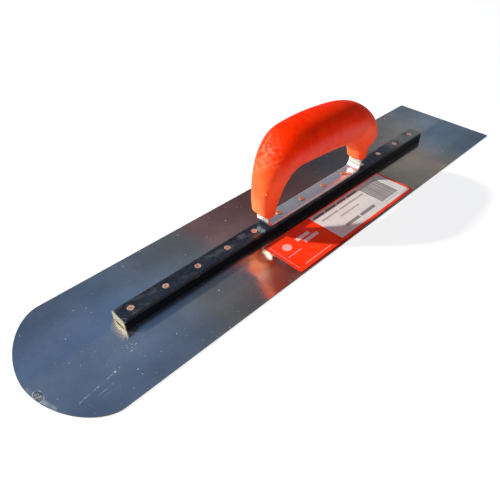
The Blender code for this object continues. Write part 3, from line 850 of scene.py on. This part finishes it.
def loft(mesh_data, stations, dome, steps=10, sides=72, dome_steps=11):
    """Skin the stations finely and close the last one with a dome of that height, or flat for 0."""
    count = (len(stations) - 1) * steps
    rows = [station_at(stations, step / steps) for step in range(count + 1)]
    rings = []
    for step, row in enumerate(rows):
        before = rows[max(step - 1, 0)]
        after = rows[min(step + 1, count)]
        along = Vector((0.0, after[0] - before[0], after[1] - before[1])).normalized()
        rings.append((row, along, 0.0, 1.0))
    for step in range(1, dome_steps + 1) if dome else ():
        angle = math.radians(80.0 * step / dome_steps)
        rings.append((rows[-1], along, dome * math.sin(angle), math.cos(angle)))
    points = []
    for (y, z, half_depth, half_width, fullness), along, ahead, size in rings:
        centre = Vector((0.0, y, z)) + along * ahead
        outward = Vector((0.0, -along.z, along.y))
        ring = []
        for side in range(sides):
            angle = 2.0 * math.pi * side / sides
            depth = half_depth * size * power(math.cos(angle), 2.0 / fullness)
            across = half_width * size * power(math.sin(angle), 2.0 / fullness)
            ring.append(centre + outward * depth + Vector((across, 0.0, 0.0)))
        points.append(ring)
    skin(mesh_data, points)


def apply_modifiers(piece):
    """Replace the piece's mesh with its modified shape."""
    graph = bpy.context.evaluated_depsgraph_get()
    mesh = bpy.data.meshes.new_from_object(piece.evaluated_get(graph), depsgraph=graph)
    mesh.name = piece.name
    piece.modifiers.clear()
    piece.data = mesh


def make_handle(material):
    """One moulding: the fine grip, its rear leg and the pip, fused and softened."""
    mesh_data = bmesh.new()
    loft(mesh_data, GRIP, GRIP_DOME)
    loft(mesh_data, REAR_LEG, 0.0)
    grip = new_piece("handle_moulding", mesh_data, material)
    remesh = grip.modifiers.new("fuse", "REMESH")
    remesh.mode = "VOXEL"
    remesh.voxel_size = VOXEL * MM
    smooth = grip.modifiers.new("soften", "SMOOTH")
    smooth.factor = 0.5
    smooth.iterations = 6
    apply_modifiers(grip)
    centre = Vector(PIP) * MM
    for vertex in grip.data.vertices:
        away = (vertex.co - centre).length / (PIP_REACH * MM)
        if away < 1.0:
            vertex.co += vertex.normal * PIP_RISE * MM * math.cos(away * math.pi / 2.0) ** 1.5
    grip.data.shade_smooth()
    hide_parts("handle")


# -------------------------------------------------------------------------------------- stage


FLOOR_HALF_M = 12.0
FLOOR_DROP_M = 0.0002


def make_stage():
    mesh_data = bmesh.new()
    bmesh.ops.create_grid(mesh_data, x_segments=8, y_segments=8, size=FLOOR_HALF_M)
    mesh = bpy.data.meshes.new("floor")
    mesh_data.to_mesh(mesh)
    mesh_data.free()
    mesh.materials.append(floor_material())
    floor = bpy.data.objects.new("floor", mesh)
    floor.location.z = -FLOOR_DROP_M
    bpy.context.scene.collection.objects.link(floor)


def make_world():
    """Even studio surroundings: pale below and at the horizon, darker and cooler above."""
    world = bpy.data.worlds.new("studio")
    world.use_nodes = True
    bpy.context.scene.world = world
    tree = world.node_tree
    background = tree.nodes["Background"]
    coordinates = tree.nodes.new("ShaderNodeTexCoord")
    split = tree.nodes.new("ShaderNodeSeparateXYZ")
    ramp = tree.nodes.new("ShaderNodeValToRGB")
    tree.links.new(coordinates.outputs["Generated"], split.inputs[0])
    tree.links.new(split.outputs["Z"], ramp.inputs[0])
    tree.links.new(ramp.outputs[0], background.inputs["Color"])
    set_stops(ramp, (
        (0.0, (0.80, 0.80, 0.80)),
        (0.15, (0.56, 0.57, 0.59)),
        (0.38, (0.260, 0.275, 0.315)),
        (0.50, (0.215, 0.225, 0.260)),
        (0.63, (0.195, 0.208, 0.248)),
        (0.72, (0.125, 0.170, 0.255)),
        (0.82, (0.102, 0.152, 0.250)),
    ))
    background.inputs["Strength"].default_value = 1.0


def make_lights():
    """A small key over the far side of the toe and a wide, weak fill from the near side."""
    for name, direction, away_m, size_m, energy, colour in (
        ("key", (-1.17, -0.99, 1.0), 3.0, 0.14, 120.0, (1.0, 0.965, 0.91)),
        ("fill", (0.45, -0.85, 0.30), 1.6, 0.9, 6.4, (1.0, 0.93, 0.87)),
    ):
        data = bpy.data.lights.new(name, "AREA")
        data.shape = "DISK"
        data.size = size_m
        data.energy = energy
        data.color = colour
        light = bpy.data.objects.new(name, data)
        aim = Vector(direction).normalized()
        light.location = aim * away_m
        light.rotation_euler = aim.to_track_quat("Z", "Y").to_euler()
        bpy.context.scene.collection.objects.link(light)


# The camera fitted to the blade's straight edges, heel, toe curve and rivet row.
CAMERA_PLACE_M = (0.19849, -0.23754, 0.22774)
CAMERA_DEGREES = (49.929, -0.345, 44.054)


def make_camera():
    data = bpy.data.cameras.new("camera")
    data.sensor_width = 36.0
    data.lens = 34.614
    data.shift_x = -0.04763
    data.shift_y = -0.01768
    camera = bpy.data.objects.new("camera", data)
    camera.location = CAMERA_PLACE_M
    camera.rotation_euler = [math.radians(angle) for angle in CAMERA_DEGREES]
    bpy.context.scene.collection.objects.link(camera)
    bpy.context.scene.camera = camera


def cover(node, material):
    """Give a CAD part its detailed material."""
    nodes[node].data.materials.clear()
    nodes[node].data.materials.append(material)


def main():
    make_camera()
    make_stage()
    make_world()
    make_lights()
    bpy.context.scene.view_settings.view_transform = "Standard"

    cover("blade", blade_material())
    cover("mounting_bar", bar_material())
    cover("blade_label", label_material())
    make_strap(strap_material())
    make_handle(handle_material())
    copper = copper_material()
    for number in range(1, RIVETS + 1):
        make_rivet(number, copper)


main()
